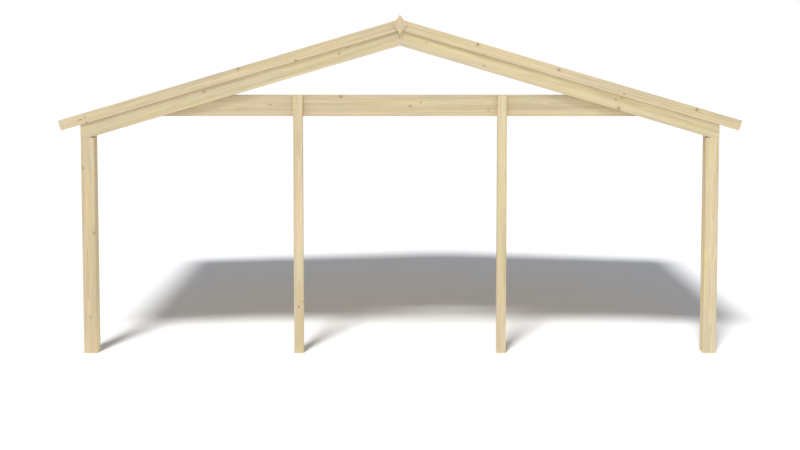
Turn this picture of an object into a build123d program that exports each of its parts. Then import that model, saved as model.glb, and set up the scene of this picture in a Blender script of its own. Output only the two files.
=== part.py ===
"""Patio cover: an open timber frame with a gabled roof that stands against a wall."""

import os
from math import cos, radians, sin, tan

from build123d import *

os.makedirs("parts", exist_ok=True)

# Size of the frame
frame_width = 5840
roof_depth = 3100
post_height = 2000
pitch_deg = 16.47
eave_overhang = 190

# Posts
corner_post_size = 120
inner_post_size = 85
inner_post_centre = 935

# Rafters at the front and against the wall
rafter_depth = 195
rafter_thickness = 45
seat_length = 80

# Tie beam across the front
tie_depth = 195
tie_thickness = 45
tie_lift = 194
tie_lap = 120

# Beams and purlins that run from front to back
side_beam_thickness = 45
ridge_depth = 195
ridge_thickness = 45
purlin_depth = 145
purlin_thickness = 45
purlin_clearance = 34
purlin_names = ("upper", "middle", "lower")
purlin_shares = (1 / 3, 2 / 3, 1)

# Roof boards and trim
deck_thickness = 19
barge_depth = 95
barge_thickness = 18
barge_stand = 16
finial_width = 124
finial_height = 179
finial_thickness = 18
finial_drop = 48

# Lines that the pieces share, with heights measured from the ground
pitch = radians(pitch_deg)
slope = tan(pitch)
half_width = frame_width / 2
inner_apex = post_height + (half_width - seat_length) * slope
outer_apex = inner_apex + rafter_depth / cos(pitch)
tie_bottom = post_height + tie_lift
tie_top = tie_bottom + tie_depth
tie_end = (inner_apex - tie_bottom) / slope + tie_lap
tie_corner = (outer_apex - tie_top) / slope
eave_length = (half_width + eave_overhang) / cos(pitch)
barge_top = deck_thickness + barge_stand
barge_bottom = barge_top - barge_depth
lowest_purlin = tie_end + purlin_clearance + purlin_thickness / 2

# The origin lies on the wall, in the middle of the ridge purlin's end.
ground = ridge_depth / 2 - outer_apex
front = -roof_depth
rafter_back = front + rafter_thickness
post_back = front + corner_post_size
wall_rafter_front = -rafter_thickness
barge_front = front - barge_thickness


def roof_line(x):
    """Height of the rafters' top edge at a distance from the middle."""
    return outer_apex - abs(x) * slope


def slope_point(along, above):
    """A point at a distance down the slope and a distance square to it."""
    x = along * cos(pitch) + above * sin(pitch)
    z = outer_apex - along * sin(pitch) + above * cos(pitch)
    return (x, z)


def mirrored(points, side):
    """The points of a profile on the right (1) or on the left (-1)."""
    return [(side * x, z + ground) for x, z in points]


def upright_plane(back):
    """A plane that faces the front, at the back of a piece."""
    return Plane(origin=(0, back, 0), x_dir=(1, 0, 0), z_dir=(0, -1, 0))


def finish(piece, name):
    """Names a piece and writes its file."""
    piece.part.label = name
    export_step(piece.part, f"parts/{name}.step")


def rafter_profile(start):
    """Outline of a rafter with a level seat on the post, from a plumb cut near the ridge."""
    return [
        (start, inner_apex - start * slope),
        (half_width - seat_length, post_height),
        (half_width, post_height),
        (half_width, roof_line(half_width)),
        (start, roof_line(start)),
    ]


def purlin_profile(centre):
    """Outline of a plumb purlin whose top follows the roof."""
    inner = centre - purlin_thickness / 2
    outer = centre + purlin_thickness / 2
    bottom = roof_line(centre) - purlin_depth
    return [(inner, bottom), (outer, bottom), (outer, roof_line(outer)), (inner, roof_line(inner))]


side_beam_inner = half_width - side_beam_thickness
corner_post_inner = half_width - corner_post_size
tongue_profile = [
    (corner_post_inner, post_height),
    (side_beam_inner, post_height),
    (side_beam_inner, roof_line(side_beam_inner)),
    (corner_post_inner, roof_line(corner_post_inner)),
]
side_beam_profile = [
    (side_beam_inner, post_height),
    (half_width, post_height),
    (half_width, roof_line(half_width)),
    (side_beam_inner, roof_line(side_beam_inner)),
]
deck_profile = [
    (0, outer_apex),
    slope_point(eave_length, 0),
    slope_point(eave_length, deck_thickness),
    (0, outer_apex + deck_thickness / cos(pitch)),
]
barge_profile = [
    (0, outer_apex + barge_bottom / cos(pitch)),
    slope_point(eave_length, barge_bottom),
    slope_point(eave_length, barge_top),
    (0, outer_apex + barge_top / cos(pitch)),
]
post_profile = [
    (front, ground),
    (front + inner_post_size, ground),
    (front + inner_post_size, ground + tie_bottom),
    (rafter_back, ground + tie_bottom),
    (rafter_back, ground + tie_top),
    (front, ground + tie_top),
]

for side_name, side in (("left", -1), ("right", 1)):
    # Corner post, cut back at the top to seat the rafter and the side beam, with a tongue up to the boards
    corner_x = side * (half_width - corner_post_size / 2)
    corner_y = front + corner_post_size / 2
    with BuildPart() as corner_post:
        with BuildSketch(Plane(origin=(corner_x, corner_y, ground))):
            Rectangle(corner_post_size, corner_post_size)
        extrude(amount=post_height)
        with BuildSketch(upright_plane(post_back)):
            Polygon(*mirrored(tongue_profile, side), align=None)
        extrude(amount=post_back - rafter_back)
    finish(corner_post, f"corner_post_{side_name}")

    # Inner post, cut back at the top to take the tie beam
    inner_x = side * inner_post_centre - inner_post_size / 2
    with BuildPart() as inner_post:
        with BuildSketch(Plane(origin=(inner_x, 0, 0), x_dir=(0, 1, 0), z_dir=(1, 0, 0))):
            Polygon(*post_profile, align=None)
        extrude(amount=inner_post_size)
    finish(inner_post, f"inner_post_{side_name}")

    # Front rafter, seated on the corner post
    with BuildPart() as front_rafter:
        with BuildSketch(upright_plane(rafter_back)):
            Polygon(*mirrored(rafter_profile(0), side), align=None)
        extrude(amount=rafter_thickness)
    finish(front_rafter, f"front_rafter_{side_name}")

    # Wall rafter, fixed flat against the wall beside the ridge purlin
    with BuildPart() as wall_rafter:
        with BuildSketch(upright_plane(0)):
            Polygon(*mirrored(rafter_profile(ridge_thickness / 2), side), align=None)
        extrude(amount=rafter_thickness)
    finish(wall_rafter, f"wall_rafter_{side_name}")

    # Side beam, from the corner post to the wall rafter
    with BuildPart() as side_beam:
        with BuildSketch(upright_plane(wall_rafter_front)):
            Polygon(*mirrored(side_beam_profile, side), align=None)
        extrude(amount=wall_rafter_front - rafter_back)
    finish(side_beam, f"side_beam_{side_name}")

    # Purlins between the front rafter and the wall rafter
    for purlin_name, purlin_share in zip(purlin_names, purlin_shares):
        centre = lowest_purlin * purlin_share
        with BuildPart() as purlin:
            with BuildSketch(upright_plane(wall_rafter_front)):
                Polygon(*mirrored(purlin_profile(centre), side), align=None)
            extrude(amount=wall_rafter_front - rafter_back)
        finish(purlin, f"purlin_{purlin_name}_{side_name}")

    # Roof deck, from the ridge to a square end at the eaves
    with BuildPart() as roof_deck:
        with BuildSketch(upright_plane(0)):
            Polygon(*mirrored(deck_profile, side), align=None)
        extrude(amount=roof_depth)
    finish(roof_deck, f"roof_deck_{side_name}")

    # Bargeboard over the front edge of the deck and the rafter
    with BuildPart() as bargeboard:
        with BuildSketch(upright_plane(front)):
            Polygon(*mirrored(barge_profile, side), align=None)
        extrude(amount=barge_thickness)
    finish(bargeboard, f"bargeboard_{side_name}")

# Tie beam behind the rafters, its ends cut to the slope of the roof
tie_profile = [
    (-tie_end, tie_bottom),
    (tie_end, tie_bottom),
    (tie_end, roof_line(tie_end)),
    (tie_corner, tie_top),
    (-tie_corner, tie_top),
    (-tie_end, roof_line(tie_end)),
]
with BuildPart() as tie_beam:
    with BuildSketch(upright_plane(rafter_back + tie_thickness)):
        Polygon(*mirrored(tie_profile, 1), align=None)
    extrude(amount=tie_thickness)
finish(tie_beam, "tie_beam")

# Ridge purlin, its top cut to both slopes
ridge_half = ridge_thickness / 2
ridge_profile = [
    (-ridge_half, outer_apex - ridge_depth),
    (ridge_half, outer_apex - ridge_depth),
    (ridge_half, roof_line(ridge_half)),
    (0, outer_apex),
    (-ridge_half, roof_line(ridge_half)),
]
with BuildPart() as ridge_purlin:
    with BuildSketch(upright_plane(0)):
        Polygon(*mirrored(ridge_profile, 1), align=None)
    extrude(amount=-rafter_back)
finish(ridge_purlin, "ridge_purlin")

# Diamond finial over the joint of the bargeboards
finial_centre = outer_apex + barge_top / cos(pitch) - finial_drop
finial_profile = [
    (0, finial_centre - finial_height / 2),
    (finial_width / 2, finial_centre),
    (0, finial_centre + finial_height / 2),
    (-finial_width / 2, finial_centre),
]
with BuildPart() as finial:
    with BuildSketch(upright_plane(barge_front)):
        Polygon(*mirrored(finial_profile, 1), align=None)
    extrude(amount=finial_thickness)
finish(finial, "finial")
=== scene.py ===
import math
import random

import bmesh
import bpy
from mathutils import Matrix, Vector


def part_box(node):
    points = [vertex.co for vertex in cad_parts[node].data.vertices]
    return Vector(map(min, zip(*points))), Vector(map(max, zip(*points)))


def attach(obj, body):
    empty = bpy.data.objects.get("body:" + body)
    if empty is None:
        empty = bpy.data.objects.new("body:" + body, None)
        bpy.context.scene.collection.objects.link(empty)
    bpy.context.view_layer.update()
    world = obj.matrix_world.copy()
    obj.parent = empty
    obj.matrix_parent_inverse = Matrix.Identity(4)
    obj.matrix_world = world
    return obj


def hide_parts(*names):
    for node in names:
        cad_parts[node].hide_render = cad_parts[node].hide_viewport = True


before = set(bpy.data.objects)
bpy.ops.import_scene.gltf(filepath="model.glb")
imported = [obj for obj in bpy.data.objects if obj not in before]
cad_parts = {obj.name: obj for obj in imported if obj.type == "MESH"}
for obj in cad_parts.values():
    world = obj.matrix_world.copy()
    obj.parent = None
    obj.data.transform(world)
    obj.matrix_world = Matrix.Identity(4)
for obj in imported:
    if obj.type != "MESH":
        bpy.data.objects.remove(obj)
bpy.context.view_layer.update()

scene = bpy.context.scene
scene.view_settings.view_transform = "Standard"
chance = random.Random(16)

# The lines of the frame, read from its pieces
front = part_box("corner_post_left")[0].y
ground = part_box("corner_post_left")[0].z
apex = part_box("ridge_purlin")[1].z
high_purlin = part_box("purlin_upper_right")
low_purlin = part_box("purlin_lower_right")
slope = (high_purlin[1].z - low_purlin[1].z) / (low_purlin[0].x - high_purlin[0].x)
pitch = math.atan(slope)
deck_low, deck_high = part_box("roof_deck_right")
deck_thickness = (deck_high.z - apex) * math.cos(pitch)
eave_length = (apex - deck_low.z) / math.sin(pitch)
roof_depth = deck_high.y - deck_low.y

# Camera
picture_width = 800
lens_pixels = 1100
film_width = 36
film_shift = -0.15
eye_height = 2.88
eye_distance = 10.02
eye_pitch = math.radians(3.32)

camera = bpy.data.objects.new("camera", bpy.data.cameras.new("camera"))
scene.collection.objects.link(camera)
camera.data.sensor_width = film_width
camera.data.lens = lens_pixels / picture_width * film_width
camera.data.shift_y = film_shift
camera.location = (0, front - eye_distance, ground + eye_height)
camera.rotation_euler = (math.pi / 2 - eye_pitch, 0, 0)
scene.camera = camera


class Value:
    """A socket in arithmetic: every operator adds one Math node beside it."""

    def __init__(self, nodes, socket):
        self.nodes = nodes
        self.socket = socket

    def math(self, operation, *others):
        sockets = dict(enumerate((self, *others)))
        return self.nodes.add("ShaderNodeMath", {"operation": operation}, sockets)

    def __add__(self, other):
        return self.math("ADD", other)

    def __sub__(self, other):
        return self.math("SUBTRACT", other)

    def __rsub__(self, other):
        return self.nodes.add("ShaderNodeMath", {"operation": "SUBTRACT"}, {0: other, 1: self})

    def __mul__(self, other):
        return self.math("MULTIPLY", other)

    def __truediv__(self, other):
        return self.math("DIVIDE", other)

    def __pow__(self, other):
        return self.math("POWER", other)

    __radd__ = __add__
    __rmul__ = __mul__


class Nodes:
    """A node tree that is being filled."""

    def __init__(self, tree):
        self.tree = tree
        tree.nodes.clear()

    def add(self, kind, settings, sockets, output=0):
        """Adds a node: its settings first, then a value or a link for each socket."""
        node = self.tree.nodes.new(kind)
        for setting, choice in settings.items():
            setattr(node, setting, choice)
        for socket, value in sockets.items():
            if isinstance(value, Value):
                self.tree.links.new(value.socket, node.inputs[socket])
            else:
                node.inputs[socket].default_value = value
        return Value(self, node.outputs[output]) if len(node.outputs) else node

    def along(self, point, axis):
        """How far a point lies along an axis."""
        return self.add("ShaderNodeVectorMath", {"operation": "DOT_PRODUCT"}, {0: point, 1: axis}, "Value")

    def point(self, x, y, z):
        """A point from its three coordinates."""
        return self.add("ShaderNodeCombineXYZ", {}, {0: x, 1: y, 2: z})

    def part(self, vector, axis):
        """One coordinate of a vector, or one channel of a colour."""
        return self.add("ShaderNodeSeparateXYZ", {}, {0: vector}, axis)

    def noise(self, vector, detail, output="Fac"):
        """Noise that changes in all directions."""
        return self.add("ShaderNodeTexNoise", {}, {"Vector": vector, "Scale": 1, "Detail": detail}, output)

    def wave_along(self, distance, detail, output="Fac"):
        """Noise that changes along one distance only."""
        settings = {"noise_dimensions": "1D"}
        return self.add("ShaderNodeTexNoise", settings, {"W": distance, "Scale": 1, "Detail": detail}, output)

    def marks(self, lines, waves, detail, output="Fac"):
        """Noise with its own number of waves along each of three lines."""
        stretched = [line * rate for line, rate in zip(lines, waves)]
        return self.noise(self.point(*stretched), detail, output)

    def fade(self, value, start, end):
        """0 before start and 1 past end, with a soft step between them."""
        settings = {"interpolation_type": "SMOOTHSTEP"}
        sockets = {"Value": value, "From Min": start, "From Max": end}
        return self.add("ShaderNodeMapRange", settings, sockets)

    def blend(self, share, first, second):
        """A colour between two colours, which are a Mix node's sockets 6 and 7, with output 2."""
        return self.add("ShaderNodeMix", {"data_type": "RGBA"}, {0: share, 6: first, 7: second}, 2)

    def scaled(self, vector, factor):
        """A colour made lighter or darker, or a point moved away from the origin."""
        sockets = {0: vector, "Scale": factor}
        return self.add("ShaderNodeVectorMath", {"operation": "SCALE"}, sockets, "Vector")

    def looked_at(self):
        """1 for what the camera sees, straight or through glass or a reflection, and 0 for lighting."""
        rays = []
        for name in ("Is Camera Ray", "Is Glossy Ray", "Is Transmission Ray"):
            rays.append(self.add("ShaderNodeLightPath", {}, {}, name))
        return rays[0].math("MAXIMUM", rays[1]).math("MAXIMUM", rays[2])


def swing(value, depth):
    """A value between 0 and 1 as a change either way, of half of depth at most."""
    return (value - 0.5) * depth


def new_finish(name):
    """A new material and its empty node tree."""
    material = bpy.data.materials.new(name)
    material.use_nodes = True
    return material, Nodes(material.node_tree)


# Colours of planed spruce
pale_wood = (0.744, 0.629, 0.415, 1)
golden_wood = (0.750, 0.632, 0.352, 1)
rosy_wood = (0.750, 0.586, 0.387, 1)
late_wood = (0.56, 0.43, 0.225, 1)
knot_heart = (0.39, 0.25, 0.135, 1)
knot_rim = (0.21, 0.125, 0.068, 1)

# Directions in which timbers run, each with the directions across its wide and its thin side
left_rise = Vector((math.cos(pitch), 0, math.sin(pitch)))
left_up = Vector((-math.sin(pitch), 0, math.cos(pitch)))
right_fall = Vector((math.cos(pitch), 0, -math.sin(pitch)))
right_up = Vector((math.sin(pitch), 0, math.cos(pitch)))
to_right = Vector((1, 0, 0))
to_wall = Vector((0, 1, 0))
upward = Vector((0, 0, 1))
RUNS = {
    "upright": (upward, to_right, to_wall),
    "left_slope": (left_rise, left_up, to_wall),
    "right_slope": (right_fall, right_up, to_wall),
    "across": (to_right, upward, to_wall),
    "depth": (to_wall, upward, to_right),
}

# Where in its log a timber lies, and its tone
log_starts = (3, 40)                # how far along the log a timber may start
log_length = 40
timber_tones = (0.25, 0.75)
board_tone_spread = 1.6

# Heart of the log, which wanders along the timber
heart_beyond = (0.012, 0.03)        # from the back of a timber to the heart
outer_board_gap = 0.08              # further still for a board that was sawn from the outside of the log
heart_aside = 0.03
heart_sway = 0.035
heart_sway_waves = 0.55             # in a metre
heart_sway_depth_share = 0.4

# Growth rings
ring_width = 0.0031
ring_drift = 3.5                    # rings by which their spacing strays
ring_drift_waves = 55               # in a metre
late_sharpness = 2.6
late_end = (0.93, 1.0)              # where the dark wood stops, as a share of the ring

# Knots
knot_rows = 1.5                     # rows of knots in a metre
knot_fan = 1.25                     # knots in a radian about the heart
knot_share = 0.45
knot_smallest = 0.0042
knot_growth = 0.006
knot_stretch = 0.6                  # below 1, for knots that are longer with the grain
knot_edge = (0.8, 1.2)              # this and the next two in radii of the knot
knot_rim_edge = (0.5, 0.95)
knot_swirl_edge = (0.6, 4.5)
knot_bow = 0.9
no_knot = 0.0001                    # in place of a radius of 0

# Marks that follow the rings: waves in a metre across them, in a radian about the heart and in a metre along
tint_waves = (30, 1.3, 0.45)
streak_waves = (95, 2.2, 0.7)
thread_waves = (260, 5, 0.9)

# Marks that don't: waves in a metre across the timber, through it and along it
fibre_waves = (620, 620, 11)
fleck_waves = (85, 85, 5)
patch_waves = (7, 7, 1.1)

# How far marks and tone make the wood lighter or darker
wood_level = 0.98
tint_depth = 0.44
streak_depth = 0.36
fibre_depth = 0.12
fleck_depth = 0.3
patch_depth = 0.16
tone_depth = 0.11
thread_depth = 0.14
thread_edge = (0.6, 0.8)
end_grain_depth = 0.2
end_grain_edge = (0.55, 0.9)
swirl_depth = 0.06

# How far the colours of the wood mix
golden_tint_share = 0.6
golden_edge = (0.4, 0.6)
rosy_tint_share = 0.7
rosy_edge = (0.42, 0.62)
rosy_most = 0.8
late_most = 0.55
knot_most = 0.6
knot_late_most = 0.25
rim_most = 0.5

# Sheen and relief of the planed face
wood_roughness = 0.72
fibre_roughness = 0.2
late_smoothness = 0.08
end_grain_roughness = 0.12
knot_smoothness = 0.12
wood_specular = 0.1
late_relief = 0.5
fibre_relief = 0.5
knot_relief = 0.4
relief_strength = 0.35
relief_height = 0.0006


def knots(wood, radius, angle, length, seed):
    """Knots that point away from the heart: the knot, its rim, the swirl round it and its radius."""
    spots = wood.point(angle * knot_fan, length * knot_rows, seed)
    settings = {"voronoi_dimensions": "2D"}
    sockets = {"Vector": spots, "Scale": 1}
    place = wood.add("ShaderNodeTexVoronoi", settings, sockets, "Position")
    draw = wood.add("ShaderNodeTexVoronoi", settings, sockets, "Color")
    aside = (angle - wood.part(place, 0) / knot_fan) * radius
    ahead = length - wood.part(place, 1) / knot_rows
    present = wood.part(draw, 1).math("LESS_THAN", knot_share)
    size = (wood.part(draw, 0) * knot_growth + knot_smallest) * present
    reach = (aside * aside + ahead * ahead * knot_stretch) ** 0.5
    near = reach / (size + no_knot)
    knot = 1 - wood.fade(near, *knot_edge)
    rim = wood.fade(near, *knot_rim_edge) * knot
    swirl = (1 - wood.fade(near, *knot_swirl_edge)) * present
    return knot, rim, swirl, size


def spruce(name, run, centre, thickness, heart_gap=0, board_width=None, first_edge=None):
    """Planed spruce: growth rings round a heart beside the timber, with knots that point away from it."""
    material, wood = new_finish(name)
    grain, wide, thin = RUNS[run]
    place = wood.add("ShaderNodeTexCoord", {}, {}, "Object")
    seed = chance.uniform(*log_starts)
    heart_depth = thickness / 2 + heart_gap + chance.uniform(*heart_beyond)
    heart_across = chance.uniform(-heart_aside, heart_aside)
    tone = chance.uniform(*timber_tones)
    length = wood.along(place, grain) + seed
    if board_width:
        # Boards side by side, each from another place in the log and with a tone of its own
        number = ((wood.along(place, to_wall) - first_edge) / board_width).math("FLOOR")
        settings = {"noise_dimensions": "1D"}
        draw = wood.add("ShaderNodeTexWhiteNoise", settings, {"W": number + seed}, "Color")
        middle = (number + 0.5) * board_width + first_edge
        length = length + wood.part(draw, 0) * log_length
        across = wood.along(place, to_wall) - middle + swing(wood.part(draw, 1), board_width)
        depth = heart_depth - (wood.along(place, wide) - wide.dot(centre))
        tone = swing(wood.part(draw, 2), board_tone_spread) + 0.5
    else:
        across = wood.along(place, wide) - wide.dot(centre)
        depth = heart_depth - (wood.along(place, thin) - thin.dot(centre))

    wander = wood.wave_along(length * heart_sway_waves, detail=1, output="Color")
    across = across - heart_across + swing(wood.part(wander, 0), heart_sway)
    depth = depth + swing(wood.part(wander, 1), heart_sway * heart_sway_depth_share)
    radius = (across * across + depth * depth) ** 0.5
    angle = across.math("ARCTAN2", depth)

    # Rings, which bow round the knots
    knot, rim, swirl, knot_size = knots(wood, radius, angle, length, seed)
    turned = radius + swirl * knot_size * knot_bow
    drift = wood.wave_along(turned * ring_drift_waves + seed, detail=2) * ring_drift
    ring = (turned / ring_width + drift).math("FRACT")
    late = ring ** late_sharpness * (1 - wood.fade(ring, *late_end))

    # Marks
    tint = wood.marks((turned, angle + seed / tint_waves[1], length), tint_waves, detail=2, output="Color")
    streak = wood.marks((turned, angle, length), streak_waves, detail=3)
    thread = wood.marks((turned, angle, length), thread_waves, detail=1)
    fibre = wood.marks((across, depth, length), fibre_waves, detail=2)
    fleck = wood.marks((across, depth, length), fleck_waves, detail=2)
    patch = wood.marks((across, depth, length), patch_waves, detail=1)
    facing = wood.add("ShaderNodeNewGeometry", {}, {}, "True Normal")
    end_grain = wood.fade(wood.along(facing, grain).math("ABSOLUTE"), *end_grain_edge)

    # Colour
    golden = wood.part(tint, 1) * golden_tint_share + patch * (1 - golden_tint_share)
    rosy = wood.part(tint, 2) * rosy_tint_share + streak * (1 - rosy_tint_share)
    colour = wood.blend(wood.fade(golden, *golden_edge), pale_wood, golden_wood)
    colour = wood.blend(wood.fade(rosy, *rosy_edge) * rosy_most, colour, rosy_wood)
    colour = wood.blend(late * late_most * (1 - knot), colour, late_wood)
    light = wood_level + swing(wood.part(tint, 0), tint_depth) + swing(streak, streak_depth)
    light = light + swing(fibre, fibre_depth) + swing(fleck, fleck_depth)
    light = light + swing(patch, patch_depth) + swing(tone, tone_depth)
    light = light * (1 - wood.fade(thread, *thread_edge) * thread_depth)
    light = light * (1 - end_grain * end_grain_depth) * (1 - swirl * swirl_depth)
    colour = wood.scaled(colour, light)
    colour = wood.blend(knot * (knot_most + knot_late_most * late), colour, knot_heart)
    colour = wood.blend(rim * rim_most, colour, knot_rim)

    # Sheen and relief
    roughness = wood_roughness + swing(fibre, fibre_roughness) - late * late_smoothness
    roughness = roughness + end_grain * end_grain_roughness - knot * knot_smoothness
    height = late * late_relief + fibre * fibre_relief + knot * knot_relief
    sockets = {"Height": height, "Strength": relief_strength, "Distance": relief_height}
    relief = wood.add("ShaderNodeBump", {}, sockets)
    sockets = {"Base Color": colour, "Roughness": roughness, "Normal": relief}
    sockets["Specular IOR Level"] = wood_specular
    surface = wood.add("ShaderNodeBsdfPrincipled", {}, sockets)
    wood.add("ShaderNodeOutputMaterial", {}, {"Surface": surface})
    return material


# Planed edges
arris_width = 0.0025
arris_steps = 2
weld_reach = 0.0001
flat_angle = math.radians(1)
with_grain = 0.98        # cosine of the angle up to which an edge runs with the grain


def long_edges(run):
    """Geometry nodes that give a bevel weight to the edges which run with the grain."""
    tree = bpy.data.node_groups.new(f"long_edges_{run}", "GeometryNodeTree")
    tree.interface.new_socket("timber", in_out="INPUT", socket_type="NodeSocketGeometry")
    tree.interface.new_socket("timber", in_out="OUTPUT", socket_type="NodeSocketGeometry")
    edges = Nodes(tree)
    timber = edges.add("NodeGroupInput", {}, {})
    ends = [edges.add("GeometryNodeInputMeshEdgeVertices", {}, {}, f"Position {end}") for end in (1, 2)]
    line = edges.add("ShaderNodeVectorMath", {"operation": "SUBTRACT"}, dict(enumerate(ends)))
    heading = edges.add("ShaderNodeVectorMath", {"operation": "NORMALIZE"}, {0: line})
    weight = edges.along(heading, RUNS[run][0]).math("ABSOLUTE").math("GREATER_THAN", with_grain)
    sockets = {"Geometry": timber, "Name": "bevel_weight_edge", "Value": weight}
    marked = edges.add("GeometryNodeStoreNamedAttribute", {"data_type": "FLOAT", "domain": "EDGE"}, sockets)
    edges.add("NodeGroupOutput", {}, {0: marked})
    return tree


LONG_EDGES = {run: long_edges(run) for run in RUNS}


def ease_edges(timber, run):
    """Takes the sharp arris off the edges that were planed, and leaves the sawn ends crisp."""
    weld = timber.modifiers.new("weld", "WELD")
    weld.merge_threshold = weld_reach
    flat = timber.modifiers.new("flat faces", "DECIMATE")
    flat.decimate_type = "DISSOLVE"
    flat.angle_limit = flat_angle
    mark = timber.modifiers.new("long edges", "NODES")
    mark.node_group = LONG_EDGES[run]
    arris = timber.modifiers.new("arris", "BEVEL")
    arris.width = arris_width
    arris.segments = arris_steps
    arris.limit_method = "WEIGHT"


def run_of(node):
    """The direction in which a timber runs."""
    side = node.rsplit("_", 1)[-1]
    if "rafter" in node or "bargeboard" in node:
        return f"{side}_slope"
    if "post" in node or node == "finial":
        return "upright"
    return "across" if node == "tie_beam" else "depth"


# Timbers
for node, timber in sorted(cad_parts.items()):
    if node.startswith("roof_deck"):
        continue
    low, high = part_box(node)
    run = run_of(node)
    thickness = abs((high - low).dot(RUNS[run][2]))
    heart_gap = outer_board_gap if node == "finial" else 0
    timber.data.materials.clear()
    timber.data.materials.append(spruce(f"spruce_{node}", run, (low + high) / 2, thickness, heart_gap))
    ease_edges(timber, run)

# Roof boards
board_count = 32
board_width = roof_depth / board_count
joint = 0.0016
vee = 0.0032
tongue_low = 0.0065
tongue_high = 0.0125
tongue_length = 0.006
tongue_play = 0.0004


def board_outline(last):
    """Outline of a tongue-and-groove board, across its width and up its thickness."""
    edge = board_width if last else board_width - joint
    top = deck_thickness
    tongue = [] if last else [
        (edge, tongue_low),
        (edge + tongue_length, tongue_low + tongue_play),
        (edge + tongue_length, tongue_high - tongue_play),
        (edge, tongue_high),
    ]
    groove = tongue_length + tongue_play
    return [
        (vee, 0),
        (edge - vee, 0),
        (edge, vee),
        *tongue,
        (edge, top - vee),
        (edge - vee, top),
        (vee, top),
        (0, top - vee),
        (0, tongue_high + tongue_play),
        (groove, tongue_high + tongue_play),
        (groove, tongue_low - tongue_play),
        (0, tongue_low - tongue_play),
        (0, vee),
    ]


def slope_lines(side):
    """The ridge, and the directions down a slope and square to it, on the right (1) or on the left (-1)."""
    ridge = Vector((0, 0, apex))
    down = Vector((side * math.cos(pitch), 0, -math.sin(pitch)))
    up = Vector((side * math.sin(pitch), 0, math.cos(pitch)))
    return ridge, down, up


def join_loops(mesh, lower, upper):
    """A band of faces between two loops of as many points."""
    for i in range(len(lower)):
        j = (i + 1) % len(lower)
        mesh.faces.new((lower[i], lower[j], upper[j], upper[i]))


def add_piece(name, mesh):
    """Puts a finished mesh in the scene as a piece of the roof."""
    bmesh.ops.recalc_face_normals(mesh, faces=mesh.faces)
    piece = bpy.data.objects.new(name, bpy.data.meshes.new(name))
    mesh.to_mesh(piece.data)
    mesh.free()
    scene.collection.objects.link(piece)
    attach(piece, "root")
    return piece


def roof_boards(side_name, side):
    """The boards of one slope, from a plumb joint at the ridge to square ends at the eaves."""
    mesh = bmesh.new()
    ridge, down, up = slope_lines(side)
    for number in range(board_count):
        outline = board_outline(number == board_count - 1)
        start = front + number * board_width
        ends = []
        for at_eave in (False, True):
            loop = []
            for y, z in outline:
                along = eave_length if at_eave else -z * slope
                loop.append(mesh.verts.new(ridge + down * along + up * z + to_wall * (start + y)))
            ends.append(loop)
        join_loops(mesh, *ends)
        mesh.faces.new(ends[0])
        mesh.faces.new(ends[1])
    boards = add_piece(f"roof_boards_{side_name}", mesh)
    middle = ridge + down * (eave_length / 2) + up * (deck_thickness / 2)
    finish = spruce(
        f"spruce_{boards.name}",
        f"{side_name}_slope",
        middle,
        deck_thickness,
        board_width=board_width,
        first_edge=front,
    )
    boards.data.materials.append(finish)
    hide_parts(f"roof_deck_{side_name}")


# Nails, two in each board over every purlin and beam
nail_radius = 0.0038
nail_rise = 0.0007
nail_sink = 0.0008
nail_sides = 10
nail_rings = (
    (nail_radius, -nail_sink),
    (nail_radius, nail_rise / 2),
    (nail_radius / 2, nail_rise),
)
nail_shares = (0.27, 0.73)
nail_stray_across = 0.003
nail_stray_along = 0.005
dark_zinc = (0.30, 0.30, 0.30, 1)
pale_zinc = (0.46, 0.46, 0.45, 1)
zinc_metallic = 0.9
zinc_roughness = 0.38
spangle_roughness = 0.2
spangle_waves = 900        # in a metre


def galvanised_steel():
    """Dull zinc with a faint spangle."""
    material, zinc = new_finish("galvanised_steel")
    place = zinc.add("ShaderNodeTexCoord", {}, {}, "Object")
    spangle = zinc.noise(zinc.scaled(place, spangle_waves), detail=1)
    colour = zinc.blend(spangle, dark_zinc, pale_zinc)
    roughness = zinc_roughness + spangle * spangle_roughness
    sockets = {"Base Color": colour, "Roughness": roughness, "Metallic": zinc_metallic}
    surface = zinc.add("ShaderNodeBsdfPrincipled", {}, sockets)
    zinc.add("ShaderNodeOutputMaterial", {}, {"Surface": surface})
    return material


def nail_head(mesh, centre, across, along, up):
    """A flat nail head with a slightly raised middle, set into the board."""
    rings = []
    for radius, height in nail_rings:
        ring = []
        for step in range(nail_sides):
            turn = math.tau * step / nail_sides
            offset = (across * math.cos(turn) + along * math.sin(turn)) * radius
            ring.append(mesh.verts.new(centre + offset + up * height))
        rings.append(ring)
    for lower, upper in zip(rings, rings[1:]):
        join_loops(mesh, lower, upper)
    mesh.faces.new(rings[0])
    mesh.faces.new(rings[-1])


def roof_nails(side_name, side, finish):
    """Nail heads of one slope."""
    mesh = bmesh.new()
    ridge, down, up = slope_lines(side)
    ridge_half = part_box("ridge_purlin")[1].x
    rows = [ridge_half / 2]
    for carrier in ("purlin_upper", "purlin_middle", "purlin_lower", "side_beam"):
        low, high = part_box(f"{carrier}_{side_name}")
        rows.append(abs(low.x + high.x) / 2)
    for row in rows:
        for number in range(board_count):
            for share in nail_shares:
                stray = chance.uniform(-nail_stray_across, nail_stray_across)
                y = front + (number + share) * board_width + stray
                along = row / math.cos(pitch) + chance.uniform(-nail_stray_along, nail_stray_along)
                centre = ridge + down * along + up * deck_thickness + to_wall * y
                nail_head(mesh, centre, to_wall, down, up)
    nails = add_piece(f"roof_nails_{side_name}", mesh)
    nails.data.materials.append(finish)


zinc_finish = galvanised_steel()
for side_name, side in (("left", -1), ("right", 1)):
    roof_boards(side_name, side)
    roof_nails(side_name, side, zinc_finish)

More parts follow.
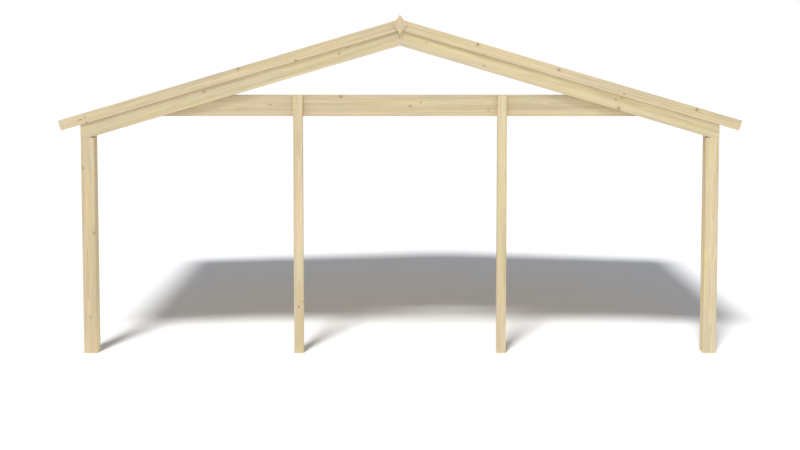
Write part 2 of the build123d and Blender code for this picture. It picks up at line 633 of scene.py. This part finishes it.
# Floor, a little paler to the eye than in the light that it throws back
floor_half = 400
floor_colour = (0.74, 0.74, 0.74, 1)
floor_seen = (0.9, 0.9, 0.9, 1)
floor_mesh = bpy.data.meshes.new("floor")
corners = [(x * floor_half, y * floor_half, 0) for x, y in ((-1, -1), (1, -1), (1, 1), (-1, 1))]
floor_mesh.from_pydata(corners, [], [range(len(corners))])
floor = bpy.data.objects.new("floor", floor_mesh)
floor.location.z = ground
scene.collection.objects.link(floor)
paint, white = new_finish("white_floor")
plain = white.add("ShaderNodeBsdfDiffuse", {}, {"Color": floor_colour})
bright = white.add("ShaderNodeBsdfDiffuse", {}, {"Color": floor_seen})
matt = white.add("ShaderNodeMixShader", {}, {0: white.looked_at(), 1: plain, 2: bright})
white.add("ShaderNodeOutputMaterial", {}, {"Surface": matt})
floor_mesh.materials.append(paint)

# Even sky, with a white backdrop where it is looked at
sky_level = 0.36
sky_tint = (0.92, 0.98, 1.1, 1)
backdrop_colour = (1, 1, 1, 1)
world = bpy.data.worlds.new("studio")
scene.world = world
world.use_nodes = True
sky = Nodes(world.node_tree)
glow = sky.add("ShaderNodeBackground", {}, {"Color": sky_tint, "Strength": sky_level})
backdrop = sky.add("ShaderNodeBackground", {}, {"Color": backdrop_colour, "Strength": 1})
shown = sky.add("ShaderNodeMixShader", {}, {0: sky.looked_at(), 1: glow, 2: backdrop})
sky.add("ShaderNodeOutputWorld", {}, {"Surface": shown})

# What a light falls on: the floor alone, or everything but the floor
floor_alone = bpy.data.collections.new("floor_alone")
floor_alone.objects.link(floor)
all_but_floor = bpy.data.collections.new("all_but_floor")
all_but_floor.objects.link(floor)
all_but_floor.collection_objects[0].light_linking.link_state = "EXCLUDE"


def distant_light(name, direction, level, spread, receivers):
    """A light from far away, which shines in one direction on its receivers."""
    light = bpy.data.objects.new(name, bpy.data.lights.new(name, "SUN"))
    light.data.energy = level
    light.data.angle = spread
    light.rotation_mode = "QUATERNION"
    light.rotation_quaternion = direction.to_track_quat("-Z", "Y")
    light.light_linking.receiver_collection = receivers
    scene.collection.objects.link(light)
    return light


# Sun, with more of it on the floor, which stays white and keeps its shadow
sun_level = 0.9
floor_sun_level = 3.0
sun_spread = math.radians(11)
sun_direction = Vector((0.19, 0.57, -1))
distant_light("sun", sun_direction, sun_level, sun_spread, all_but_floor)
distant_light("floor_sun", sun_direction, floor_sun_level, sun_spread, floor_alone)

# Soft light on the timber: a dome over it, and a little from both sides
dome_level = 1.72
dome_spread = math.pi
side_level = 0.36
side_spread = math.radians(60)
soft_lights = {
    "dome": (-upward, dome_level, dome_spread),
    "left_light": (to_right, side_level, side_spread),
    "right_light": (-to_right, side_level, side_spread),
}
for name, (direction, level, spread) in soft_lights.items():
    soft_light = distant_light(name, direction, level, spread, all_but_floor)
    soft_light.visible_glossy = False
